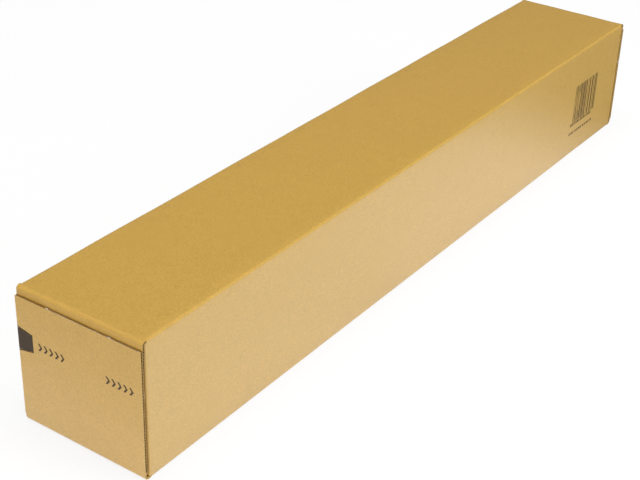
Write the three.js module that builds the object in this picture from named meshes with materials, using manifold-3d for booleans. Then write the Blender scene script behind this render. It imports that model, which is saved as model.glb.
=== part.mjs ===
// A square mailing tube, folded from one sheet of fine-fluted corrugated board.
// Millimetres. X runs along the tube, Z is up, and the tube lies on its bottom panel.
// The origin is under the middle of the tube, on the surface that it lies on.

import * as THREE from 'three';
import { mergeVertices } from 'three/addons/utils/BufferGeometryUtils.js';
import Module from 'manifold-3d';

const wasm = await Module();
wasm.setup();

// Clear space inside the closed tube
const insideLength = 705;
const insideWidth = 108;
const insideHeight = 106;

// The board: two liners with a wavy medium glued between them
const board = 1.5;
const liner = 0.3;
const medium = 0.25;
const flutePitch = 2.5;
const fluteOpening = 1.9; // height of one channel where it meets its liner
const fluteCrest = 0.5; // height of the same channel at the far liner

// Creases and the small gaps between folded layers
const creaseRadius = 2; // outside of the long creases, and where the dust flaps turn in
const rollRadius = 3; // outside of the softer bend from the top panel to an inner flap
const hingeRadius = 3.5; // outside of the crease that an outer flap turns on
const crushedBoard = 1.5; // board beside a crease whose flutes are pressed flat
const foldGap = 0.25; // dust flaps to inner flap
const stripSpace = 0.5; // inner flap to outer flap, where the closing strip lies
const slotGap = 0.3; // beside the edges of the dust flaps
const hingeGap = 0.3; // between the bottom panel and an outer flap

// Flaps
const dustFlapLength = 52;
const innerFlapFootGap = 3; // bottom edge of an inner flap above the ground
const outerFlapSetback = 6.5; // top edge of an outer flap below the top panel

// The glued seam along the lower left edge
const lapWidth = 30;
const lapEndInset = 9; // the lap stops short of the end creases
const seamNotch = 0.6; // groove that shows where the two edges meet

// Tear-open line, closing strip and its release paper, on each outer flap
const tearHeight = 68.6;
const tearTapeWidth = 4;
const tearTapeThickness = 0.125;
const tabLength = 12.3;
const tabOuterHeight = 17.4;
const tabInnerHeight = 12.6;
const tabSlit = 0.4;
const stripWidth = 12;
const stripThickness = 0.125;
const stripTopInset = 6; // below the top edge of the flap
const stripEndInset = 4;
const releasePaperThickness = 0.125;
const releasePaperOverhang = 1.5; // past each edge of the strip

// Sizes that follow from the ones above
const outsideWidth = insideWidth + 2 * board;
const outsideHeight = insideHeight + 2 * board;
const sideEdge = outsideWidth / 2;
const dustFlapFace = insideLength / 2 + board;
const panelEnd = dustFlapFace - creaseRadius; // where the end creases start
const innerFlapFace = dustFlapFace + foldGap + board;
const outerFlapFace = innerFlapFace + stripSpace + board;
const outerFlapBack = outerFlapFace - board;
const outerFlapTop = outsideHeight - outerFlapSetback;
const hingeCentre = { x: outerFlapFace - hingeRadius, z: hingeRadius };
const hingeAngle = -Math.PI / 4; // the crease is parted half way round its bend

const cardboard = { color: 0xcaa465, roughness: 0.9, metalness: 0 };
const tapeFilm = { color: 0xd8c9a0, roughness: 0.45, metalness: 0 };
const adhesive = { color: 0xe4dcc2, roughness: 0.35, metalness: 0 };
const coatedPaper = { color: 0xe9e4d8, roughness: 0.4, metalness: 0 };

// A shape drawn in X and Z, carried across the tube by its whole width.
function acrossTube(shape, width) {
  const geometry = new THREE.ExtrudeGeometry(shape, { depth: width, bevelEnabled: false, curveSegments: 6 });
  geometry.rotateX(Math.PI / 2);
  geometry.translate(0, width / 2, 0);
  return geometry;
}

// A shape drawn in Y and Z, carried along the tube.
function alongTube(shape, start, end) {
  const geometry = new THREE.ExtrudeGeometry(shape, {
    depth: end - start,
    bevelEnabled: false,
    curveSegments: 6,
  });
  const yAxis = new THREE.Vector3(0, 1, 0);
  const zAxis = new THREE.Vector3(0, 0, 1);
  const xAxis = new THREE.Vector3(1, 0, 0);
  geometry.applyMatrix4(new THREE.Matrix4().makeBasis(yAxis, zAxis, xAxis));
  geometry.translate(start, 0, 0);
  return geometry;
}

// A shape drawn in X and Y, carried upwards.
function upwards(shape, bottom, top) {
  const geometry = new THREE.ExtrudeGeometry(shape, {
    depth: top - bottom,
    bevelEnabled: false,
    curveSegments: 6,
  });
  geometry.translate(0, 0, bottom);
  return geometry;
}

function toSolid(geometry) {
  const bare = new THREE.BufferGeometry();
  bare.setAttribute('position', geometry.getAttribute('position'));
  if (geometry.index) {
    bare.setIndex(geometry.index);
  }
  const merged = mergeVertices(bare, 1e-4);
  return new wasm.Manifold(new wasm.Mesh({
    numProp: 3,
    vertProperties: new Float32Array(merged.getAttribute('position').array),
    triVerts: new Uint32Array(merged.index.array),
  }));
}

function toGeometry(solid) {
  const mesh = solid.getMesh();
  const geometry = new THREE.BufferGeometry();
  geometry.setAttribute('position', new THREE.BufferAttribute(new Float32Array(mesh.vertProperties), 3));
  geometry.setIndex(new THREE.BufferAttribute(new Uint32Array(mesh.triVerts), 1));
  return geometry;
}

// Mirrors an outline from the far end (+1) to the near end (-1). It is kept
// anticlockwise, so that the holes in it are turned the right way as well.
function outline(points, end) {
  const mirrored = points.map(([x, other]) => new THREE.Vector2(end * x, other));
  if (THREE.ShapeUtils.isClockWise(mirrored)) {
    mirrored.reverse();
  }
  return new THREE.Shape(mirrored);
}

// Points of an arc, both ends included.
function arc(centreX, centreY, radius, from, to, steps = 6) {
  const points = [];
  for (let i = 0; i <= steps; i += 1) {
    const angle = from + (to - from) * i / steps;
    points.push([centreX + radius * Math.cos(angle), centreY + radius * Math.sin(angle)]);
  }
  return points;
}

// The open channels of the flutes in a standing flap, between two heights.
// They lie by turns against the outer and the inner liner of the board.
function fluteChannels(face, bottom, top, end) {
  const channels = [];
  const nearLiner = face - liner;
  const nearCrest = face - board + liner + medium;
  const farLiner = face - board + liner;
  const farCrest = face - liner - medium;
  const halfPitch = flutePitch / 2;
  let outward = true;
  for (let z = top - halfPitch; z - fluteOpening / 2 >= bottom; z -= halfPitch) {
    outward = !outward;
    const wide = outward ? nearLiner : farLiner;
    const narrow = outward ? nearCrest : farCrest;
    channels.push([
      [wide, z - fluteOpening / 2],
      [wide, z + fluteOpening / 2],
      [narrow, z + fluteCrest / 2],
      [narrow, z - fluteCrest / 2],
    ]);
  }
  return channels.map((points) => new THREE.Path(
    points.map(([x, z]) => new THREE.Vector2(end * x, z)),
  ));
}

// The four panels, rounded at the long creases. Inside the bottom panel lies
// the glued lap, and a groove on the lower left edge shows the seam.
function panelRing() {
  const outer = creaseRadius;
  const inner = creaseRadius - board;
  const left = sideEdge;
  const right = -sideEdge;
  const top = outsideHeight;
  const quarter = Math.PI / 2;
  const outside = [
    ...arc(right + outer, outer, outer, 2 * quarter, 3 * quarter),
    [left, 0],
    [left, board],
    [left - seamNotch, board + seamNotch / 2],
    [left, board + seamNotch],
    ...arc(left - outer, top - outer, outer, 0, quarter),
    ...arc(right + outer, top - outer, outer, quarter, 2 * quarter),
  ];
  const inside = [
    ...arc(right + outer, outer, inner, 2 * quarter, 3 * quarter),
    [left - board, board],
    ...arc(left - outer, top - outer, inner, 0, quarter),
    ...arc(right + outer, top - outer, inner, quarter, 2 * quarter),
  ];
  const shape = new THREE.Shape(outside.map(([y, z]) => new THREE.Vector2(y, z)));
  shape.holes.push(new THREE.Path(inside.map(([y, z]) => new THREE.Vector2(y, z))));
  return toSolid(alongTube(shape, -panelEnd, panelEnd));
}

// The lap, glued flat on the inside of the bottom panel.
function glueLap() {
  const left = sideEdge - board;
  const shape = new THREE.Shape([
    new THREE.Vector2(left, board),
    new THREE.Vector2(left, 2 * board),
    new THREE.Vector2(left - lapWidth, 2 * board),
    new THREE.Vector2(left - lapWidth, board),
  ]);
  return toSolid(alongTube(shape, -dustFlapFace + lapEndInset, dustFlapFace - lapEndInset));
}

// A side panel's end crease and the dust flap that it turns in.
function dustFlap(end, side) {
  const bend = { x: panelEnd, y: sideEdge - creaseRadius };
  const quarter = Math.PI / 2;
  const points = [
    ...arc(bend.x, bend.y, creaseRadius, quarter, 0),
    [dustFlapFace, sideEdge - dustFlapLength],
    [dustFlapFace - board, sideEdge - dustFlapLength],
    ...arc(bend.x, bend.y, creaseRadius - board, 0, quarter),
  ];
  const sided = points.map(([x, y]) => [x, side * y]);
  const bottom = board + slotGap;
  return toSolid(upwards(outline(sided, end), bottom, outsideHeight - bottom));
}

// The top panel runs on past the dust flaps and turns down as the inner flap.
function innerFlap(end) {
  const bend = { x: innerFlapFace - rollRadius, z: outsideHeight - rollRadius };
  const quarter = Math.PI / 2;
  const shape = outline([
    [panelEnd, outsideHeight],
    ...arc(bend.x, bend.z, rollRadius, quarter, 0),
    [innerFlapFace, innerFlapFootGap],
    [innerFlapFace - board, innerFlapFootGap],
    ...arc(bend.x, bend.z, rollRadius - board, 0, quarter),
    [panelEnd, outsideHeight - board],
  ], end);
  const fluteTop = bend.z - crushedBoard;
  shape.holes.push(...fluteChannels(innerFlapFace, innerFlapFootGap + liner, fluteTop, end));
  return toSolid(acrossTube(shape, outsideWidth));
}

// The bottom panel runs on to the crease of the outer flap.
function bottomCrease(end) {
  const { x, z } = hingeCentre;
  const down = -Math.PI / 2;
  const innerRadius = hingeRadius - board;
  const outerStop = hingeAngle - Math.asin(hingeGap / 2 / hingeRadius);
  const innerStop = hingeAngle - Math.asin(hingeGap / 2 / innerRadius);
  const shape = outline([
    [panelEnd, 0],
    ...arc(x, z, hingeRadius, down, outerStop, 4),
    ...arc(x, z, innerRadius, innerStop, down, 4),
    [panelEnd, board],
  ], end);
  return toSolid(acrossTube(shape, outsideWidth));
}

// Everything that stays folded: four panels, the lap, dust flaps and inner flaps.
function tubeBlank() {
  let blank = panelRing().add(glueLap());
  for (const end of [-1, 1]) {
    blank = blank.add(innerFlap(end)).add(bottomCrease(end));
    for (const side of [-1, 1]) {
      blank = blank.add(dustFlap(end, side));
    }
  }
  return toGeometry(blank);
}

// One of the two slits that free the tear tab. They run in from the flap's
// left edge and close in on the tear line.
function tabSlitCutter(end, upDown) {
  const edge = sideEdge + 1;
  const slope = (tabOuterHeight - tabInnerHeight) / 2 / tabLength;
  const outerZ = tearHeight + upDown * (tabOuterHeight / 2 + slope);
  const innerZ = tearHeight + upDown * tabInnerHeight / 2;
  const shape = new THREE.Shape([
    new THREE.Vector2(edge, outerZ - tabSlit / 2),
    new THREE.Vector2(edge, outerZ + tabSlit / 2),
    new THREE.Vector2(sideEdge - tabLength, innerZ + tabSlit / 2),
    new THREE.Vector2(sideEdge - tabLength, innerZ - tabSlit / 2),
  ]);
  const through = [end * (outerFlapBack - 1), end * (outerFlapFace + 1)].sort((a, b) => a - b);
  return toSolid(alongTube(shape, ...through));
}

// The outer flap, from its parted crease up to its cut top edge. The cut runs
// along one flute, so that edge is an open groove between the two liners.
function outerFlap(end) {
  const { x, z } = hingeCentre;
  const innerRadius = hingeRadius - board;
  const outerStart = hingeAngle + Math.asin(hingeGap / 2 / hingeRadius);
  const innerStart = hingeAngle + Math.asin(hingeGap / 2 / innerRadius);
  const grooveFloor = outerFlapBack + liner + medium;
  const shape = outline([
    ...arc(x, z, hingeRadius, outerStart, 0, 4),
    [outerFlapFace, outerFlapTop],
    [outerFlapFace - liner, outerFlapTop],
    [outerFlapFace - liner, outerFlapTop - fluteOpening / 2],
    [grooveFloor, outerFlapTop - fluteCrest / 2],
    [grooveFloor, outerFlapTop],
    [outerFlapBack, outerFlapTop],
    ...arc(x, z, innerRadius, 0, innerStart, 4),
  ], end);
  shape.holes.push(...fluteChannels(outerFlapFace, z + crushedBoard, outerFlapTop, end));
  let flap = toSolid(acrossTube(shape, outsideWidth));
  for (const upDown of [-1, 1]) {
    flap = flap.subtract(tabSlitCutter(end, upDown));
  }
  return toGeometry(flap);
}

// A thin layer on the back of an outer flap, or on another such layer.
function backLayer(end, front, thickness, bottom, top, width) {
  const shape = outline([
    [front, bottom],
    [front, top],
    [front - thickness, top],
    [front - thickness, bottom],
  ], end);
  return acrossTube(shape, width);
}

function tearTape(end) {
  const bottom = tearHeight - tearTapeWidth / 2;
  const top = tearHeight + tearTapeWidth / 2;
  return backLayer(end, outerFlapBack, tearTapeThickness, bottom, top, outsideWidth);
}

function adhesiveStrip(end) {
  const top = outerFlapTop - stripTopInset;
  const width = outsideWidth - 2 * stripEndInset;
  return backLayer(end, outerFlapBack, stripThickness, top - stripWidth, top, width);
}

function releasePaper(end) {
  const top = outerFlapTop - stripTopInset + releasePaperOverhang;
  const bottom = outerFlapTop - stripTopInset - stripWidth - releasePaperOverhang;
  const width = outsideWidth - 2 * (stripEndInset - releasePaperOverhang);
  const front = outerFlapBack - stripThickness;
  return backLayer(end, front, releasePaperThickness, bottom, top, width);
}

const tube = new THREE.Group();

function addPiece(name, geometry, look) {
  const mesh = new THREE.Mesh(geometry, new THREE.MeshStandardMaterial(look));
  mesh.name = name;
  tube.add(mesh);
}

addPiece('tube_blank', tubeBlank(), cardboard);
for (const [name, end] of [['near', -1], ['far', 1]]) {
  addPiece(`${name}_outer_flap`, outerFlap(end), cardboard);
  addPiece(`${name}_tear_tape`, tearTape(end), tapeFilm);
  addPiece(`${name}_adhesive_strip`, adhesiveStrip(end), adhesive);
  addPiece(`${name}_release_paper`, releasePaper(end), coatedPaper);
}

export default tube;
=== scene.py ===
# %% [markdown]
# # A square mailing tube in fine-fluted board
#
# The object is one die-cut sheet of corrugated board, folded into a long square tube that closes
# itself at both ends. The CAD model fixes its sizes, its two swinging flaps and where they turn.
# This lesson gives the board what makes it look like board: two smooth liners with a wavy medium
# between them, soft creases, raw cut edges, and brown paper that is never quite one colour.

import math

import bmesh
import bpy
import numpy as np
from mathutils import Matrix, Vector, noise


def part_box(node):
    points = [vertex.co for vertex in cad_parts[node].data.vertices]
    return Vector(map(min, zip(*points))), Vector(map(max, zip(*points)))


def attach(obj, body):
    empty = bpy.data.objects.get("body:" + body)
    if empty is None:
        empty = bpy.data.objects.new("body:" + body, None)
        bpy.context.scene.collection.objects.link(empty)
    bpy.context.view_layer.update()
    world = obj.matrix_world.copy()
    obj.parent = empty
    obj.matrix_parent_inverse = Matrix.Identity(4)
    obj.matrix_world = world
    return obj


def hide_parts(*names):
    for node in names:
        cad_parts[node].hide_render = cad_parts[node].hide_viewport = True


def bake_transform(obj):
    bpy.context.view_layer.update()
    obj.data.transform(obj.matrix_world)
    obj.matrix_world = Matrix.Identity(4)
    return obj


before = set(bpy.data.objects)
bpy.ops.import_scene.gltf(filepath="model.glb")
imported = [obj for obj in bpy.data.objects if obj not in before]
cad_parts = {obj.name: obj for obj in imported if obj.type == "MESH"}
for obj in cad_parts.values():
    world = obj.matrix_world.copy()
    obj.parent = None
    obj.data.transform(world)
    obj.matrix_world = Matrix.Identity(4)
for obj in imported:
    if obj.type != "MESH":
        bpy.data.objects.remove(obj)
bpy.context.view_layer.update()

# %% [markdown]
# ## Sizes
#
# Blender works in metres, but board is easier to think about in millimetres, so every shape below
# is worked out in millimetres and turned into metres when its mesh is made. The outer sizes are
# read from the boxes of the CAD nodes, so a piece goes where the solid is, with no fitting.
# X runs along the tube, the camera's side panel faces -Y, and an end is -1 near or +1 far.

# %% Read the tube's places from its nodes
MM = 0.001
BOARD = 1.5
LINER = 0.2
MEDIUM = 0.16
FLUTE_PITCH = 2.5
CREASE_RADIUS = 2
ROLL_RADIUS = 3
HINGE_RADIUS = 3.5
STRIP_SPACE = 0.5
FOLD_GAP = 0.25
ENDS = {"near": -1, "far": 1}

tube_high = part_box("tube_blank")[1] / MM
flap_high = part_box("far_outer_flap")[1] / MM
HALF_WIDTH = tube_high.y
HEIGHT = tube_high.z
FLAP_TOP = flap_high.z
FLAP_FACE = flap_high.x
INNER_FACE = FLAP_FACE - BOARD - STRIP_SPACE
DUST_FACE = INNER_FACE - BOARD - FOLD_GAP
PANEL_END = DUST_FACE - CREASE_RADIUS
print("panels end", round(PANEL_END, 2), "inner flap", round(INNER_FACE, 2))
print("outer flap", round(FLAP_FACE, 2), "top edge", round(FLAP_TOP, 2))

# %% [markdown]
# ## The camera
#
# The photograph looks down on the near end and the right side panel through a fairly long lens.
# Its place, its turn and its lens were found by fitting the tube's long edges to the edges in the
# picture. A camera's matrix is three directions and a place: right, up, and backwards, because it
# looks along its -Z.

# %% Set the camera at the photograph's view
PICTURE_WIDTH = 640
FOCAL_PIXELS = 1375.8
SENSOR = 36
CAMERA_PLACE = Vector((-0.8785, -0.5432, 0.5926))
CAMERA_YAW = math.radians(34.33)
CAMERA_PITCH = math.radians(-29.84)
CAMERA_ROLL = math.radians(-1.97)

level = math.cos(CAMERA_PITCH)
ahead = (level * math.cos(CAMERA_YAW), level * math.sin(CAMERA_YAW), math.sin(CAMERA_PITCH))
forward = Vector(ahead)
sideways = forward.cross(Vector((0, 0, 1))).normalized()
downwards = forward.cross(sideways)
right = math.cos(CAMERA_ROLL) * sideways + math.sin(CAMERA_ROLL) * downwards
up = math.sin(CAMERA_ROLL) * sideways - math.cos(CAMERA_ROLL) * downwards

camera_data = bpy.data.cameras.new("photo_camera")
camera_data.sensor_width = SENSOR
camera_data.lens = FOCAL_PIXELS / PICTURE_WIDTH * SENSOR
camera_data.clip_start = 0.05
camera_data.clip_end = 50
camera = bpy.data.objects.new("photo_camera", camera_data)
bpy.context.scene.collection.objects.link(camera)
turn = Matrix((right, up, -forward)).transposed().to_4x4()
camera.matrix_world = Matrix.Translation(CAMERA_PLACE) @ turn
bpy.context.scene.camera = camera
print("lens", round(camera_data.lens, 1), "mm")

# %% [markdown]
# ## Material helpers
#
# Materials are node trees written in code. One helper adds a node, sets its options, and links or
# sets its inputs. With a few short names for the steps used most, a finish reads as a list.


# %% Helpers that build node trees
def new_tree(name):
    material = bpy.data.materials.new(name)
    material.use_nodes = True
    material.node_tree.nodes.clear()
    return material, material.node_tree


def add_node(tree, kind, inputs=None, **settings):
    made = tree.nodes.new(kind)
    for name, value in settings.items():
        setattr(made, name, value)
    for name, value in (inputs or {}).items():
        if isinstance(value, bpy.types.NodeSocket):
            tree.links.new(value, made.inputs[name])
        else:
            made.inputs[name].default_value = value
    return made


def calculate(tree, operation, first, second=0.0):
    return add_node(tree, "ShaderNodeMath", {0: first, 1: second}, operation=operation).outputs[0]


def rescale(tree, value, low, high, to_low, to_high):
    inputs = {0: value, 1: low, 2: high, 3: to_low, 4: to_high}
    return add_node(tree, "ShaderNodeMapRange", inputs).outputs[0]


def mix_colours(tree, share, first, second):
    inputs = {0: share, 6: first, 7: second}
    return add_node(tree, "ShaderNodeMix", inputs, data_type="RGBA").outputs[2]


def speckle(tree, place, size, detail=2.0, stretch=(1, 1, 1)):
    """Noise whose grains are about size millimetres, drawn out where stretch is below 1."""
    mapped = add_node(tree, "ShaderNodeMapping", {"Vector": place, "Scale": stretch}).outputs[0]
    inputs = {"Vector": mapped, "Scale": 1 / (size * MM), "Detail": detail}
    return add_node(tree, "ShaderNodeTexNoise", inputs).outputs["Fac"]


def finish_surface(tree, colour, roughness, height=None, depth=0.05, strength=0.3, **fixed):
    looks = {"Base Color": colour, "Roughness": roughness}
    shader = add_node(tree, "ShaderNodeBsdfPrincipled", looks)
    for name, value in fixed.items():
        shader.inputs[name.replace("_", " ")].default_value = value
    if height is not None:
        inputs = {"Height": height, "Distance": depth * MM, "Strength": strength}
        tree.links.new(add_node(tree, "ShaderNodeBump", inputs).outputs[0], shader.inputs["Normal"])
    add_node(tree, "ShaderNodeOutputMaterial", {"Surface": shader.outputs[0]})


# %% [markdown]
# ## Brown kraft liner
#
# The liner is unbleached paper. From a step away it is one warm brown, and close up it is never
# flat: soft clouds where the pulp settled, short fibres lying with the web, a few dark specks and
# pale threads. Under it the flutes print through as a very low washboard. Each of these is one
# noise at its own real size, and the washboard is a sine of the true flute pitch. A calendered
# liner also has a dull gloss, which shows on the faces that mirror a white table.

# %% Make the kraft liner
KRAFT_DARK = (0.41, 0.235, 0.035, 1)
KRAFT_LIGHT = (0.68, 0.408, 0.078, 1)
KRAFT_SPECK = (0.22, 0.11, 0.03, 1)
KRAFT_THREAD = (0.8, 0.57, 0.24, 1)
KRAFT_GLOSS = {"Specular_IOR_Level": 1.0, "Coat_Weight": 1.0, "Coat_Roughness": 0.38}
CLOUD_SIZE, CLOUD_SHARE = 9, 0.08
FLOCK_SIZE, FLOCK_SHARE = 1.0, 0.22
FIBRE_SIZE, FIBRE_SHARE = 0.4, 0.67
FIBRE_STRETCH = 0.3
WASHBOARD_SHARE = 0.3


def kraft_liner(name, across_flutes):
    """across_flutes is the axis along which the flutes follow each other."""
    material, tree = new_tree(name)
    place = add_node(tree, "ShaderNodeTexCoord").outputs["Object"]
    grain = [FIBRE_STRETCH if axis == across_flutes else 1.0 for axis in "XYZ"]

    clouds = speckle(tree, place, CLOUD_SIZE, detail=3)
    flocks = speckle(tree, place, FLOCK_SIZE, detail=3)
    fibres = speckle(tree, place, FIBRE_SIZE, stretch=grain)
    shade = calculate(tree, "MULTIPLY", clouds, CLOUD_SHARE)
    for layer, part in ((flocks, FLOCK_SHARE), (fibres, FIBRE_SHARE)):
        shade = calculate(tree, "ADD", shade, calculate(tree, "MULTIPLY", layer, part))
    shade = rescale(tree, shade, 0.3, 0.7, 0, 1)
    colour = mix_colours(tree, shade, KRAFT_DARK, KRAFT_LIGHT)

    specks = rescale(tree, speckle(tree, place, 0.8, 1), 0.7, 0.78, 0, 0.5)
    colour = mix_colours(tree, specks, colour, KRAFT_SPECK)
    threads = rescale(tree, speckle(tree, place, 0.45, 1, grain[::-1]), 0.7, 0.78, 0, 0.35)
    colour = mix_colours(tree, threads, colour, KRAFT_THREAD)

    along = add_node(tree, "ShaderNodeSeparateXYZ", {0: place}).outputs[across_flutes]
    turns = calculate(tree, "MULTIPLY", along, 2 * math.pi / (FLUTE_PITCH * MM))
    washboard = calculate(tree, "MULTIPLY", calculate(tree, "SINE", turns), WASHBOARD_SHARE)
    height = calculate(tree, "ADD", washboard, calculate(tree, "ADD", fibres, flocks))
    roughness = rescale(tree, flocks, 0.3, 0.7, 0.44, 0.56)
    finish_surface(tree, colour, roughness, height, **KRAFT_GLOSS)
    return material


panel_paper = kraft_liner("kraft_on_panels", "X")
flap_paper = kraft_liner("kraft_on_flaps", "Z")
print("made", panel_paper.name, "and", flap_paper.name)

# %% [markdown]
# ## Raw cut edges
#
# Where a knife went through the board, torn fibres scatter more light than the smooth liner does,
# so a cut face is rough and paler. The channels in front of the medium are coloured near-black,
# painted shade for their dark inside, and the knife drags pale fibre over the channels behind it.

# %% Make the raw edge and the painted shade of the flute channels
RAW_DARK = (0.3, 0.175, 0.06, 1)
RAW_LIGHT = (0.6, 0.4, 0.15, 1)
# Near-black painted shade for the inside of the flute channels, far darker than the paper itself
CHANNEL_SHADE_DARK = (0.04, 0.02, 0.008, 1)
CHANNEL_SHADE_LIGHT = (0.09, 0.05, 0.02, 1)


def rough_paper(name, dark, light):
    material, tree = new_tree(name)
    place = add_node(tree, "ShaderNodeTexCoord").outputs["Object"]
    fluff = speckle(tree, place, 0.3, detail=3)
    finish_surface(tree, mix_colours(tree, fluff, dark, light), 0.9, fluff, depth=0.1, strength=0.5)
    print("made", name)
    return material


raw_paper = rough_paper("raw_board_edge", RAW_DARK, RAW_LIGHT)
channel_shade_paper = rough_paper("flute_channel_painted_shade", CHANNEL_SHADE_DARK, CHANNEL_SHADE_LIGHT)

# %% [markdown]
# ## Folding a sheet
#
# A folded sheet is easiest to describe the way a carton maker does: straight run, bend, straight
# run. A walker follows the outer face, always turning left, with the outside on the right hand.
# Afterwards any distance along the sheet gives a point and the direction that faces out.


# %% A walker that follows the outer face
class FoldLine:
    def __init__(self, start, heading):
        self.runs = []
        self.point = Vector(start)
        self.heading = math.radians(heading)
        self.length = 0.0

    def straight(self, length):
        self.runs.append((self.length, length, self.point.copy(), self.heading, None))
        self.point += Vector((math.cos(self.heading), math.sin(self.heading))) * length
        self.length += length
        return self

    def bend(self, radius, degrees=90):
        turn = math.radians(degrees)
        centre = self.point + Vector((-math.sin(self.heading), math.cos(self.heading))) * radius
        self.runs.append((self.length, radius * turn, centre, self.heading, radius))
        self.heading += turn
        self.point = centre + Vector((math.sin(self.heading), -math.cos(self.heading))) * radius
        self.length += radius * turn
        return self

    def at(self, distance):
        run = max((r for r in self.runs if r[0] <= distance + 1e-9), key=lambda r: r[0])
        start, _, origin, heading, radius = run
        if radius:
            heading += (distance - start) / radius
        facing = Vector((math.sin(heading), -math.cos(heading)))
        if radius:
            return origin + facing * radius, facing
        forwards = Vector((math.cos(heading), math.sin(heading)))
        return origin + forwards * (distance - start), facing

    def stations(self, step, bend_steps=8):
        found = []
        for start, length, _, _, radius in self.runs:
            count = bend_steps if radius else max(1, round(length / step))
            found += [start + length * i / count for i in range(count)]
        return found + [self.length]


# %% [markdown]
# ## Board as a closed mesh
#
# Board has six levels in its thickness: the outer liner's two faces, the medium's two faces and
# the inner liner's two faces. A column says where they lie at one distance along the sheet. Where
# the medium touches a liner, or the board is crushed, two levels become one and the space between
# them closes. The medium is a wave with flattened crests. Those are its glue lines, and they keep
# two channels from meeting in a single edge, which would not be a proper solid.

# %% Columns: the levels of the board along the sheet
SAME_LEVEL = 1e-6
CREST_FLATTENING = 1.001
CRUSHED = (0, LINER, LINER, BOARD - LINER, BOARD - LINER, BOARD)
ROLLED = (0, LINER, (BOARD - MEDIUM) / 2, (BOARD + MEDIUM) / 2, BOARD - LINER, BOARD)
PLAIN = (0, BOARD)


def fluted_columns(cut, length, direction=1, steps=12):
    """Waves that start at the distance cut, where they are cut open, and run on for a length."""
    middle = BOARD / 2
    swing = (BOARD - 2 * LINER - MEDIUM) / 2
    flatten = CREST_FLATTENING / math.cos(2 * math.pi / steps)
    columns = []
    count = int(length / FLUTE_PITCH * steps + SAME_LEVEL)
    for i in range(count + 1):
        wave = flatten * math.cos(2 * math.pi * i / steps)
        centre = middle - swing * max(-1.0, min(1.0, wave))
        levels = (0, LINER, centre - MEDIUM / 2, centre + MEDIUM / 2, BOARD - LINER, BOARD)
        columns.append((cut + direction * i * FLUTE_PITCH / steps, levels))
    return columns


# %% Skin a run of columns
LINER_FACE = 0
RAW_FACE = 1
FLUTE_FACE = 2


class MeshParts:
    def __init__(self):
        self.points = []
        self.faces = []
        self.kinds = []

    def add_face(self, corners, kind):
        loop = [corner for i, corner in enumerate(corners) if corner != corners[i - 1]]
        if len(loop) >= 3:
            self.faces.append(loop)
            self.kinds.append(kind)


def add_board(parts, columns, place, across, kind=LINER_FACE):
    """place(distance, depth, across) says where a point of the flat sheet goes once folded."""
    rows = []
    for position in across:
        row = []
        for distance, levels in columns:
            column = []
            for i, depth in enumerate(levels):
                if i in (2, 4) and abs(depth - levels[i - 1]) < SAME_LEVEL:
                    column.append(column[-1])
                    continue
                column.append(len(parts.points))
                parts.points.append(place(distance, depth, position))
            row.append(column)
        rows.append(row)
    last = len(rows[0][0]) - 1
    solid_spans = [(0, 1)] if last == 1 else [(0, 1), (2, 3), (4, 5)]
    # FLUTE_FACE is the channel in front of the medium, and it takes the painted channel shade
    open_spans = [] if last == 1 else [(1, 2, FLUTE_FACE), (3, 4, RAW_FACE)]
    for row, after in zip(rows, rows[1:]):
        for a, b, c, d in zip(row, row[1:], after, after[1:]):
            parts.add_face((a[0], b[0], d[0], c[0]), kind)
            parts.add_face((a[last], b[last], d[last], c[last]), kind)
            for low, high, channel in open_spans:
                if a[low] != a[high] or b[low] != b[high]:
                    parts.add_face((a[low], b[low], d[low], c[low]), channel)
                    parts.add_face((a[high], b[high], d[high], c[high]), channel)
        for a, c in ((row[0], after[0]), (row[-1], after[-1])):
            for low, high in solid_spans:
                parts.add_face((a[low], c[low], c[high], a[high]), RAW_FACE)
    for row in (rows[0], rows[-1]):
        for a, b in zip(row, row[1:]):
            for low, high in solid_spans:
                parts.add_face((a[low], b[low], b[high], a[high]), RAW_FACE)


# %% Turn parts into an object in metres
SHARP_ANGLE = math.radians(40)


def make_piece(name, parts, materials):
    mesh = bpy.data.meshes.new(name)
    mesh.from_pydata((np.array(parts.points) * MM).tolist(), [], parts.faces)
    for material in materials:
        mesh.materials.append(material)
    mesh.polygons.foreach_set("material_index", parts.kinds)
    shell = bmesh.new()
    shell.from_mesh(mesh)
    bmesh.ops.recalc_face_normals(shell, faces=shell.faces)
    open_edges = sum(1 for edge in shell.edges if not edge.is_manifold)
    shell.to_mesh(mesh)
    shell.free()
    mesh.shade_smooth()
    mesh.set_sharp_from_angle(angle=SHARP_ANGLE)
    piece = bpy.data.objects.new(name, mesh)
    bpy.context.scene.collection.objects.link(piece)
    triangles = sum(len(face.vertices) - 2 for face in mesh.polygons)
    print(name, triangles, "triangles,", open_edges, "open edges")
    return piece


# %% [markdown]
# ## The wrapped panels
#
# One sheet goes round: the glue lap inside the bottom, up the left side, over the top, down the
# right side and back under, to a raw edge along the lower left. Real panels are never dead flat,
# so a slow noise of a fifth of a millimetre moves them along their facing. The bottom moves only
# inwards, because the table holds it, and the noise fades out at the ends, where the folded flaps
# hold the panels straight.

# %% Wrap the panels
LAP_WIDTH = 30
LAP_END = PANEL_END - 7
SEAM_BLOCK = 3
WAVE_SIZE = 60
WAVE_HEIGHT = 0.3
HELD_LENGTH = 40
ACROSS_STEP = 8


def waviness(x, y, z, size, amount):
    return amount * noise.noise(Vector((x, y, z)) / size)


def panel_wave(x, y, z):
    held = min(1.0, max(0.0, (PANEL_END - abs(x)) / HELD_LENGTH))
    return held * waviness(x, y, z, WAVE_SIZE, WAVE_HEIGHT)


def wrap_place(line):
    def place(distance, depth, x):
        point, facing = line.at(distance)
        wave = panel_wave(x, point.x, point.y)
        proud = (-abs(wave) if facing.y < -0.5 else wave) - depth
        return (x, point.x + facing.x * proud, point.y + facing.y * proud)
    return place


def even_steps(start, stop, step):
    return np.linspace(start, stop, max(2, round((stop - start) / step) + 1)).tolist()


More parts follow.
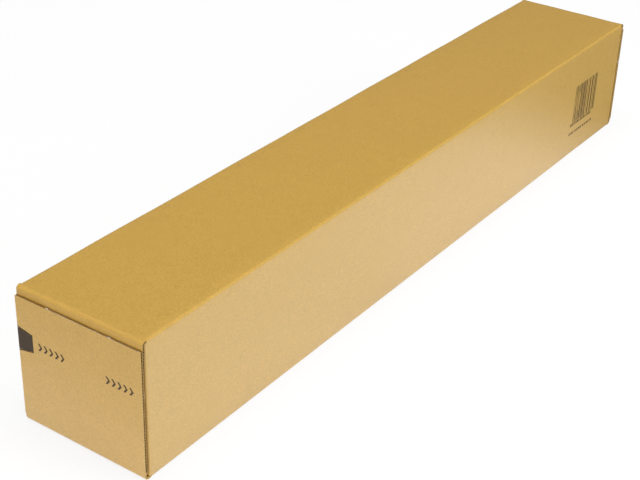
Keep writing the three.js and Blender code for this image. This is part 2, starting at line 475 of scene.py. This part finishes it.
half_flat = HALF_WIDTH - CREASE_RADIUS
left_rise = HEIGHT - BOARD - 2 * CREASE_RADIUS
right_drop = HEIGHT - 2 * CREASE_RADIUS
wrap = FoldLine((half_flat, BOARD), 0).bend(CREASE_RADIUS).straight(left_rise)
wrap.bend(CREASE_RADIUS).straight(2 * half_flat).bend(CREASE_RADIUS).straight(right_drop)
wrap.bend(CREASE_RADIUS).straight(half_flat + HALF_WIDTH - SEAM_BLOCK)
lap = FoldLine((half_flat - LAP_WIDTH, BOARD), 0).straight(LAP_WIDTH)

folded = MeshParts()
columns = [(distance, PLAIN) for distance in wrap.stations(9)]
add_board(folded, columns, wrap_place(wrap), even_steps(-PANEL_END, PANEL_END, ACROSS_STEP))
columns = [(distance, PLAIN) for distance in lap.stations(10)]
add_board(folded, columns, wrap_place(lap), even_steps(-LAP_END, LAP_END, ACROSS_STEP))
round_length = round(wrap.length + LAP_WIDTH, 1)
print("wrapped sheet is", round_length, "mm round,", len(folded.faces), "faces")

# %% [markdown]
# ## The open seam
#
# The bottom panel's free edge was cut across the flutes, so along the lower left of the tube there
# is a row of little arches, one for every 2.5 mm. Seen from that side they are the tube's finest
# detail, so the last 3 mm of the panel are modelled with their flutes open.


# %% Cut the seam edge across the flutes
def seam_place(distance, depth, y):
    return (distance, y, depth)


COARSE_STEPS = 8
columns = fluted_columns(-PANEL_END, 2 * PANEL_END, steps=COARSE_STEPS)
add_board(folded, columns, seam_place, [HALF_WIDTH - SEAM_BLOCK, HALF_WIDTH])
print("seam has", len(columns) // COARSE_STEPS, "flutes,", len(folded.faces), "faces so far")

# %% [markdown]
# ## Dust flaps and inner flaps
#
# At each end the two side panels turn in as dust flaps, and the top panel turns down over them as
# the inner flap. The top panel's bend is a fat roll, because it is pressed over the flaps behind
# it. The inner flap was cut to full width, so the square ends of its roll stand out a little past
# the rounded long creases, like small ears, and its cut sides show the flutes. Below the roll the
# inner flap narrows a little so that it tucks in easily, more at the near end than at the far one.

# %% Fold the dust flaps in
DUST_FLAP_LENGTH = 52
SLOT_GAP = 0.3

dust = FoldLine((DUST_FACE, HALF_WIDTH - DUST_FLAP_LENGTH), 90)
dust.straight(DUST_FLAP_LENGTH - CREASE_RADIUS).bend(CREASE_RADIUS)


def dust_place(end, side):
    def place(distance, depth, z):
        point, facing = dust.at(distance)
        return (end * (point.x - facing.x * depth), side * (point.y - facing.y * depth), z)
    return place


columns = [(distance, PLAIN) for distance in dust.stations(10)]
heights = even_steps(BOARD + SLOT_GAP, HEIGHT - BOARD - SLOT_GAP, 20)
for end in ENDS.values():
    for side in (-1, 1):
        add_board(folded, columns, dust_place(end, side), heights)

# %% Turn the inner flaps down
INNER_FLAP_FOOT = 3
CRUSH_LENGTH = 1.5
TAPER = {ENDS["near"]: 1.5, ENDS["far"]: 0.5}
TAPER_START = 98
TAPER_RUN = 16
ROLL_WAVE_SIZE = 14
ROLL_WAVE_HEIGHT = 0.35

inner = FoldLine((INNER_FACE, INNER_FLAP_FOOT), 90)
inner.straight(HEIGHT - ROLL_RADIUS - INNER_FLAP_FOOT).bend(ROLL_RADIUS)
inner.straight(INNER_FACE - ROLL_RADIUS - PANEL_END)
print("inner flap is", round(inner.length, 1), "mm long")


def inner_place(end):
    def place(distance, depth, y):
        point, facing = inner.at(distance)
        near_roll = math.exp(-((point.y - HEIGHT + 2) / 6) ** 2) * min(1, abs(point.x - PANEL_END))
        bump = near_roll * waviness(end * 90, y, point.y, ROLL_WAVE_SIZE, ROLL_WAVE_HEIGHT)
        proud = bump - depth
        below = max(0, min(1, (TAPER_START - point.y) / TAPER_RUN))
        eased = below * below * (3 - 2 * below)
        across = y * (1 - TAPER[end] * eased / HALF_WIDTH)
        return (end * (point.x + facing.x * proud), across, point.y + facing.y * proud)
    return place


flat_length = HEIGHT - ROLL_RADIUS - INNER_FLAP_FOOT - CRUSH_LENGTH
columns = fluted_columns(0, flat_length, steps=COARSE_STEPS)
columns += [(s, ROLLED) for s in inner.stations(0.5, 14) if s > columns[-1][0] + 0.1]
for end in ENDS.values():
    add_board(folded, columns, inner_place(end), even_steps(-HALF_WIDTH, HALF_WIDTH, 14))
folded_sheet = make_piece("folded_sheet", folded, [panel_paper, raw_paper, channel_shade_paper])
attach(folded_sheet, "tube")
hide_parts("tube_blank")

# %% [markdown]
# ## The outer flaps
#
# The outer flap is the bottom panel's end, turned up last. The same waves fill it, and its top cut
# runs along one flute, so that edge is an open groove between two liners.

# %% Describe the outer flap
BAND_TOP = 5.5

outer = FoldLine((PANEL_END, 0), 0).straight(FLAP_FACE - HINGE_RADIUS - PANEL_END)
outer.bend(HINGE_RADIUS).straight(FLAP_TOP - HINGE_RADIUS)
height_to_distance = outer.length - FLAP_TOP
print("outer flap's line is", round(outer.length, 1), "mm long")


def flap_place(end):
    """Also places what lies on the flap: in front of it depth is below 0, behind it above BOARD."""
    def place(distance, depth, y):
        point, facing = outer.at(distance)
        return (end * (point.x - facing.x * depth), y, point.y - facing.y * depth)
    return place


def flap_columns():
    band = height_to_distance + BAND_TOP
    columns = fluted_columns(outer.length, outer.length - band - CRUSH_LENGTH, -1)[::-1]
    crushed = [(s, CRUSHED) for s in even_steps(band, columns[0][0] - 0.2, 0.4)]
    return crushed + columns


# %% [markdown]
# ## The tear tab
#
# Two slits near the flap's left edge free a tear tab. They cross the waves at a slant, so they are
# cut after the mesh is made, with a boolean. Its exact solver keeps the board closed, channels
# and all.

# %% Shape the cutters
TEAR_HEIGHT = 68.6
TAB_LENGTH = 12.3
TAB_OUTER = 17.4
TAB_INNER = 12.6
TAB_SLIT = 0.4
TAB_INNER_END = HALF_WIDTH - TAB_LENGTH


def slit_parts(end, upwards):
    edge = HALF_WIDTH + 1
    slope = (TAB_OUTER - TAB_INNER) / 2 / TAB_LENGTH
    outer_z = TEAR_HEIGHT + upwards * (TAB_OUTER / 2 + slope)
    inner_z = TEAR_HEIGHT + upwards * TAB_INNER / 2
    half = TAB_SLIT / 2
    ring = [(edge, outer_z - half), (edge, outer_z + half)]
    ring += [(TAB_INNER_END, inner_z + half), (TAB_INNER_END, inner_z - half)]
    parts = MeshParts()
    for x in (FLAP_FACE - BOARD - 1, FLAP_FACE + 2):
        parts.points += [(end * x, y, z) for y, z in ring]
    parts.add_face((0, 1, 2, 3), RAW_FACE)
    parts.add_face((4, 5, 6, 7), RAW_FACE)
    for i in range(4):
        parts.add_face((i, (i + 1) % 4, (i + 1) % 4 + 4, i + 4), RAW_FACE)
    return parts


def cut_away(piece, cutters):
    for cutter in cutters:
        cut = piece.modifiers.new("slit", "BOOLEAN")
        cut.object = cutter
        cut.operation = "DIFFERENCE"
        cut.solver = "EXACT"
    bpy.context.view_layer.update()
    shaped = piece.evaluated_get(bpy.context.evaluated_depsgraph_get())
    mesh = bpy.data.meshes.new_from_object(shaped)
    piece.modifiers.clear()
    piece.data = mesh
    for cutter in cutters:
        bpy.data.objects.remove(cutter)


# %% Stand the outer flaps up and cut them
# The third finish is the painted shade inside the flute channels
board_papers = [flap_paper, raw_paper, channel_shade_paper]
flap_stations = [-HALF_WIDTH, 0, TAB_INNER_END - 0.7, HALF_WIDTH]
for name, end in ENDS.items():
    parts = MeshParts()
    add_board(parts, flap_columns(), flap_place(end), flap_stations)
    flap = make_piece(f"{name}_flap_board", parts, board_papers)
    cutters = []
    for i, way in enumerate((-1, 1)):
        cutters.append(make_piece(f"{name}_slit_{i}", slit_parts(end, way), [raw_paper]))
    cut_away(flap, cutters)
    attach(flap, f"{name}_flap")
    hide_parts(f"{name}_outer_flap")
    print(flap.name, "after the cuts:", len(flap.data.polygons), "faces")

# %% [markdown]
# ## Torn nicks
#
# While the sheet is on the cutting die, two nicks of uncut board hold the flap's edge. They tear
# when the flap is folded, and each leaves a tuft of pale fibre on the top edge. A tuft is a few
# thin spikes that lean at random, from a fixed seed, so that it is the same on every run. The
# same spikes, very short, make the pale fuzz that a worn cutting blade leaves along the edge.

# %% Leave tufts on the top edge
NICKS = (26.2, -28.6)
NICK_SPIKES = 7
NICK_HALF = 0.7
TUFT_FOOT = FLAP_TOP - 0.2
TUFT_THICKNESS = 0.25
FUZZ_PITCH = 0.5
FUZZ_THICKNESS = 0.18
TUFT_PALE = (0.75, 0.65, 0.45, 1)
TUFT_WHITE = (0.9, 0.85, 0.72, 1)

tuft_paper = rough_paper("torn_fibre", TUFT_PALE, TUFT_WHITE)
chance = np.random.default_rng(7)


def add_spike(parts, foot, tip, width):
    base = len(parts.points)
    for dx, dy in ((-1, -1), (1, -1), (0, 1)):
        parts.points.append((foot[0] + dx * width, foot[1] + dy * width, foot[2]))
    parts.points.append(tip)
    for corners in ((0, 1, 2), (0, 1, 3), (1, 2, 3), (2, 0, 3)):
        parts.add_face([base + corner for corner in corners], LINER_FACE)


for name, end in ENDS.items():
    parts = MeshParts()
    for nick in NICKS:
        for _ in range(NICK_SPIKES):
            x = FLAP_FACE - chance.uniform(0.05, 0.9)
            y = nick + chance.uniform(-NICK_HALF, NICK_HALF)
            lean = chance.uniform(-0.5, 0.5, 2)
            tip = (end * (x + lean[0]), y + lean[1], FLAP_TOP + chance.uniform(0.7, 1.6))
            add_spike(parts, (end * x, y, TUFT_FOOT), tip, TUFT_THICKNESS)
    for y in even_steps(1 - HALF_WIDTH, NICKS[0], FUZZ_PITCH):
        x = FLAP_FACE - chance.uniform(0.2, 0.35)
        tip = (end * x, y + chance.uniform(-0.4, 0.4), FLAP_TOP + chance.uniform(0.15, 0.55))
        add_spike(parts, (end * x, y, TUFT_FOOT), tip, FUZZ_THICKNESS)
    tufts = make_piece(f"{name}_flap_tufts", parts, [tuft_paper])
    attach(tufts, f"{name}_flap")

# %% [markdown]
# ## The living creases
#
# Each outer flap turns on a crease, where the board is crushed flat and bends like a leather
# hinge. This band of board joins the bottom panel to the flap, and it is made in the flap's
# closed place.

# %% Join each flap to the tube with a crease
CREASE_HALF = HALF_WIDTH - 0.6

band_length = height_to_distance + BAND_TOP
stations = [s for s in outer.stations(0.75, 18) if s < band_length - 0.05] + [band_length]
columns = [(s, PLAIN) for s in stations]
print("crease band is", round(band_length, 1), "mm long")
for name, end in ENDS.items():
    parts = MeshParts()
    add_board(parts, columns, flap_place(end), even_steps(-CREASE_HALF, CREASE_HALF, 10))
    crease = make_piece(f"{name}_flap_crease", parts, board_papers)
    low = Vector((end * (FLAP_FACE - HINGE_RADIUS), 0, 0)) * MM
    high = Vector((end * FLAP_FACE, 0, HINGE_RADIUS)) * MM
    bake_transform(crease)
    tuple(low)
    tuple(high)
    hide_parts(f"{name}_outer_flap", "tube_blank")

# %% [markdown]
# ## Print
#
# The print is one dark brown ink that sinks into the liner, with the paper showing through it a
# little. On each outer flap it marks the tear tab with a solid field and the tear line with two
# rows of five arrow heads. The right side panel has a block of plain bars over two rows of dashes.
# Thin closed shapes that are sunk into the paper keep the print's edges sharp at any distance.

# %% Make the ink
INK_DARK = (0.04, 0.025, 0.014, 1)
INK_LIGHT = (0.08, 0.05, 0.029, 1)
SIDE_INK_DARK = (0.07, 0.04, 0.015, 1)
SIDE_INK_LIGHT = (0.11, 0.065, 0.024, 1)
INK_ROUGHNESS = 0.6


def printed_ink(name, dark, light):
    material, tree = new_tree(name)
    place = add_node(tree, "ShaderNodeTexCoord").outputs["Object"]
    grains = speckle(tree, place, 0.4, detail=3)
    finish_surface(tree, mix_colours(tree, grains, dark, light), INK_ROUGHNESS, grains)
    print("made", name)
    return material


flap_ink = printed_ink("flap_ink", INK_DARK, INK_LIGHT)
side_ink = printed_ink("side_panel_ink", SIDE_INK_DARK, SIDE_INK_LIGHT)

# %% Shapes of ink on a surface
INK_PROUD = 0.05
INK_SUNK = 0.12


def add_ink(parts, outline, place):
    """A flat outline given as (along the sheet, across it) pairs, made a thin closed shape."""
    base = len(parts.points)
    count = len(outline)
    for depth in (-INK_PROUD, INK_SUNK):
        parts.points += [place(distance, depth, position) for distance, position in outline]
    parts.add_face(range(base, base + count), LINER_FACE)
    parts.add_face(range(base + count, base + 2 * count), LINER_FACE)
    for i in range(count):
        j = (i + 1) % count
        parts.add_face((base + i, base + j, base + count + j, base + count + i), LINER_FACE)


# %% Outlines of the flap's print
CHEVRON_PITCH = 5.1
CHEVRON_HALF_HEIGHT = 2.9
CHEVRON_WIDTH = 3.9
CHEVRON_STROKE = 1.7
CHEVRON_STARTS = (37.0, -23.8)
CHEVRON_COUNT = 5
FIELD_INNER = 41.7
FIELD_OUTER_HALF = 9.85
FIELD_INNER_HALF = 7.35


def chevron(start):
    """An arrow head that points to -Y, with its open side at start."""
    middle = TEAR_HEIGHT + height_to_distance
    high = middle + CHEVRON_HALF_HEIGHT
    low = middle - CHEVRON_HALF_HEIGHT
    tip = start - CHEVRON_WIDTH
    front = start - CHEVRON_STROKE
    upper, lower = [(high, start), (high, front)], [(low, front), (low, start)]
    return upper + [(middle, tip)] + lower + [(middle, tip + CHEVRON_STROKE)]


def tab_fields():
    """The field round the tear tab, with the slits left free in it."""
    slit_end = TAB_INNER_END
    middle = TEAR_HEIGHT + height_to_distance
    gap = TAB_SLIT / 2 + 0.05
    outer_half = TAB_OUTER / 2 - gap
    inner_half = TAB_INNER / 2 - gap

    def field(outer_low, inner_low, inner_high, outer_high, start=HALF_WIDTH, stop=slit_end):
        heights = (outer_low, start), (inner_low, stop), (inner_high, stop), (outer_high, start)
        return [(middle + height, y) for height, y in heights]

    fields = [field(-outer_half, -inner_half, inner_half, outer_half)]
    for way in (-1, 1):
        outer_slit, inner_slit = way * (outer_half + 2 * gap), way * (inner_half + 2 * gap)
        fields.append(field(outer_slit, inner_slit, way * FIELD_INNER_HALF, way * FIELD_OUTER_HALF))
    low, high = -FIELD_INNER_HALF, FIELD_INNER_HALF
    return fields + [field(low, low, high, high, slit_end, FIELD_INNER)]


# %% Print the flaps
for name, end in ENDS.items():
    parts = MeshParts()
    for outline in tab_fields():
        add_ink(parts, outline, flap_place(end))
    for start in CHEVRON_STARTS:
        for i in range(CHEVRON_COUNT):
            add_ink(parts, chevron(start - i * CHEVRON_PITCH), flap_place(end))
    printed = make_piece(f"{name}_flap_print", parts, [flap_ink])
    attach(printed, f"{name}_flap")

# %% Print the side panel
BAR_BOTTOM = 35
BAR_TOP = 73
BARS = (
    (261.5, 1.0), (264.2, 1.9), (267.8, 0.9), (270.2, 1.5), (273.0, 2.1),
    (276.4, 1.2), (278.8, 2.2), (282.2, 1.1), (284.4, 1.9), (288.6, 0.8),
    (291.4, 2.2), (296.6, 2.4), (301.2, 1.0), (304.0, 2.0), (307.2, 0.8),
)
DASH_ROWS = ((32.9, 3.0, 257.5, 306.0, 3.1), (23.6, 2.4, 257.0, 308.6, 4.2))
DASH_FILLS = (0.55, 0.7, 0.4, 0.62)


def side_place(x, depth, z):
    return (x, depth - HALF_WIDTH - panel_wave(x, -HALF_WIDTH, z), z)


def upright_bar(x, width, bottom, top):
    rise = even_steps(bottom, top, 5)
    return [(x, z) for z in rise] + [(x + width, z) for z in rise[::-1]]


parts = MeshParts()
for x, width in BARS:
    add_ink(parts, upright_bar(x, width, BAR_BOTTOM, BAR_TOP), side_place)
for z, height, start, stop, pitch in DASH_ROWS:
    for i in range(int((stop - start) / pitch)):
        width = pitch * DASH_FILLS[i % len(DASH_FILLS)]
        dash = upright_bar(start + i * pitch, width, z - height / 2, z + height / 2)
        add_ink(parts, dash, side_place)
side_print = make_piece("side_panel_print", parts, [side_ink])
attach(side_print, "tube")

# %% [markdown]
# ## Behind the flaps
#
# On the back of each outer flap are the parts that a buyer finds when closing the tube: a strip of
# adhesive under its release paper near the top edge, and the tear tape behind the printed arrows.
# They are thin layers that follow the flap, and the release paper's end is lifted as a finger tab.

# %% Finishes of the strips
TAPE_COLOUR = (0.85, 0.79, 0.63, 1)
ADHESIVE_COLOUR = (0.89, 0.86, 0.76, 1)
PAPER_COLOUR = (0.82, 0.79, 0.73, 1)


def strip_finish(name, colour, shadow, roughness, grain):
    material, tree = new_tree(name)
    place = add_node(tree, "ShaderNodeTexCoord").outputs["Object"]
    streaks = speckle(tree, place, grain, 3, (1, 0.1, 1))
    worn = tuple(shadow * v for v in colour[:3]) + (1,)
    finish_surface(tree, mix_colours(tree, streaks, worn, colour), roughness, streaks)
    print("made", name)
    return material


tape_film = strip_finish("tear_tape_film", TAPE_COLOUR, 0.8, 0.3, 0.5)
adhesive_film = strip_finish("adhesive_film", ADHESIVE_COLOUR, 0.85, 0.25, 0.8)
coated_paper = strip_finish("release_paper_sheet", PAPER_COLOUR, 0.93, 0.45, 1.2)

# %% Shape a layer on a flap's back
LAYER = 0.125
FINGER_LIFT = 0.2
FINGER_LENGTH = 14


def back_layer(name, end, bottom, top, half_width, depth, material, lift=0.0):
    def place(distance, level, y):
        curl = max(0.0, (y - half_width + FINGER_LENGTH) / FINGER_LENGTH) ** 2
        return flap_place(end)(distance, depth + level + lift * curl, y)
    parts = MeshParts()
    columns = [(height_to_distance + z, (0, LAYER)) for z in even_steps(bottom, top, 3)]
    add_board(parts, columns, place, even_steps(-half_width, half_width, 3))
    return make_piece(name, parts, [material, material])


# %% Lay the tape, the adhesive and its paper
TAPE_WIDTH = 4
STRIP_WIDTH = 12
STRIP_TOP = FLAP_TOP - 6
STRIP_HALF = HALF_WIDTH - 4
OVERHANG = 1.5

for name, end in ENDS.items():
    low, high = TEAR_HEIGHT - TAPE_WIDTH / 2, TEAR_HEIGHT + TAPE_WIDTH / 2
    tape = back_layer(f"{name}_tear_tape_film", end, low, high, HALF_WIDTH, BOARD, tape_film)
    low, high = STRIP_TOP - STRIP_WIDTH, STRIP_TOP
    glue = back_layer(f"{name}_adhesive_film", end, low, high, STRIP_HALF, BOARD, adhesive_film)
    low, high = low - OVERHANG, high + OVERHANG
    half, depth = STRIP_HALF + OVERHANG, BOARD + LAYER
    sheet = f"{name}_release_sheet"
    paper = back_layer(sheet, end, low, high, half, depth, coated_paper, FINGER_LIFT)
    for piece, node, slot in (
        (tape, "tear_tape", "tear_tape"),
        (glue, "adhesive_strip", "adhesive"),
        (paper, "release_paper", "release_paper"),
    ):
        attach(piece, f"{name}_flap")
        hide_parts(f"{name}_{node}")

# %% [markdown]
# ## Floor, light and view
#
# The tube lies on a white table that runs out of the picture, under one broad soft light from
# above and two weaker ones from the camera's side. The floor shows itself as plain white to the
# camera. Near the tube it still takes a faint shadow, and further out it is left pure white. To
# reflections alone it glows white in a strip along the tube and dim beyond it, a painted
# reflection that gives the board's lower parts their pale sheen. The lamps stay out of
# reflections, because their own glare on the liner would be harder than the real paper's.

# %% Lay the floor
FLOOR_WHITE = (0.9, 0.9, 0.9, 1)
BACKGROUND_SHARE = 0.85
SHADOW_REACH = 0.6
SHEEN_MIDDLE = -0.06
SHEEN_HALF = 0.28
SHEEN_FADE = 0.16
SHEEN_REST = 0.1
FLOOR_HALF = 4000

table_white, tree = new_tree("white_table")
matt = add_node(tree, "ShaderNodeBsdfDiffuse", {"Color": FLOOR_WHITE})
glow = add_node(tree, "ShaderNodeEmission", {"Color": (1, 1, 1, 1), "Strength": 1.0})
path = add_node(tree, "ShaderNodeLightPath")
place = add_node(tree, "ShaderNodeTexCoord").outputs["Object"]
span = add_node(tree, "ShaderNodeVectorMath", {0: place}, operation="LENGTH").outputs["Value"]
white_share = rescale(tree, span, SHADOW_REACH, 2 * SHADOW_REACH, BACKGROUND_SHARE, 1.0)
share = calculate(tree, "MULTIPLY", path.outputs["Is Camera Ray"], white_share)
seen = add_node(tree, "ShaderNodeMixShader", {0: share, 1: matt.outputs[0], 2: glow.outputs[0]})

# For glossy rays the floor glows, though it is no lamp: full white in a strip along the tube and
# dim beyond it, a painted reflection that puts the pale sheen on the board's lower parts
along = add_node(tree, "ShaderNodeSeparateXYZ", {0: place}).outputs["X"]
away = calculate(tree, "ABSOLUTE", calculate(tree, "SUBTRACT", along, SHEEN_MIDDLE))
reflection_glow_strength = rescale(tree, away, SHEEN_HALF, SHEEN_HALF + SHEEN_FADE, 1.0, SHEEN_REST)
reflection_glow = add_node(tree, "ShaderNodeEmission", {"Color": (1, 1, 1, 1), "Strength": reflection_glow_strength})
choice = {0: path.outputs["Is Glossy Ray"], 1: seen.outputs[0], 2: reflection_glow.outputs[0]}
both = add_node(tree, "ShaderNodeMixShader", choice)
add_node(tree, "ShaderNodeOutputMaterial", {"Surface": both.outputs[0]})

parts = MeshParts()
corners = ((-1, -1), (1, -1), (1, 1), (-1, 1))
parts.points = [(x * FLOOR_HALF, y * FLOOR_HALF, 0) for x, y in corners]
parts.add_face((0, 1, 2, 3), LINER_FACE)
floor = make_piece("floor", parts, [table_white])


# %% Hang the lamps
PLAIN_LAMP = (1, 1, 1)
COOL_LAMP = (0.93, 1, 1)


def area_lamp(name, place, target, size, power, colour=PLAIN_LAMP):
    data = bpy.data.lights.new(name, "AREA")
    data.shape = "DISK"
    data.size = size
    data.energy = power
    data.color = colour
    lamp = bpy.data.objects.new(name, data)
    bpy.context.scene.collection.objects.link(lamp)
    lamp.location = place
    lamp.visible_glossy = False
    lamp.rotation_euler = (Vector(target) - Vector(place)).to_track_quat("-Z", "Y").to_euler()
    print(name, power, "W")


area_lamp("overhead", (-0.15, -0.1, 2.2), (0, 0, 0), 2.0, 48)
area_lamp("right_fill", (0.75, -2.2, 0.85), (0.05, 0, 0.05), 1.8, 38, COOL_LAMP)
area_lamp("front_fill", (-2.3, -0.4, 0.3), (-0.3, 0, 0.05), 0.8, 25)

# %% Set the world and the view
WORLD_LIGHT = 0.15

world = bpy.data.worlds.new("studio")
world.use_nodes = True
background = world.node_tree.nodes["Background"]
background.inputs["Color"].default_value = (1, 1, 1, 1)
world_path = add_node(world.node_tree, "ShaderNodeLightPath")
shown = rescale(world.node_tree, world_path.outputs["Is Camera Ray"], 0, 1, WORLD_LIGHT, 1)
world.node_tree.links.new(shown, background.inputs["Strength"])
bpy.context.scene.world = world
bpy.context.scene.view_settings.view_transform = "Standard"
print("world light", WORLD_LIGHT)
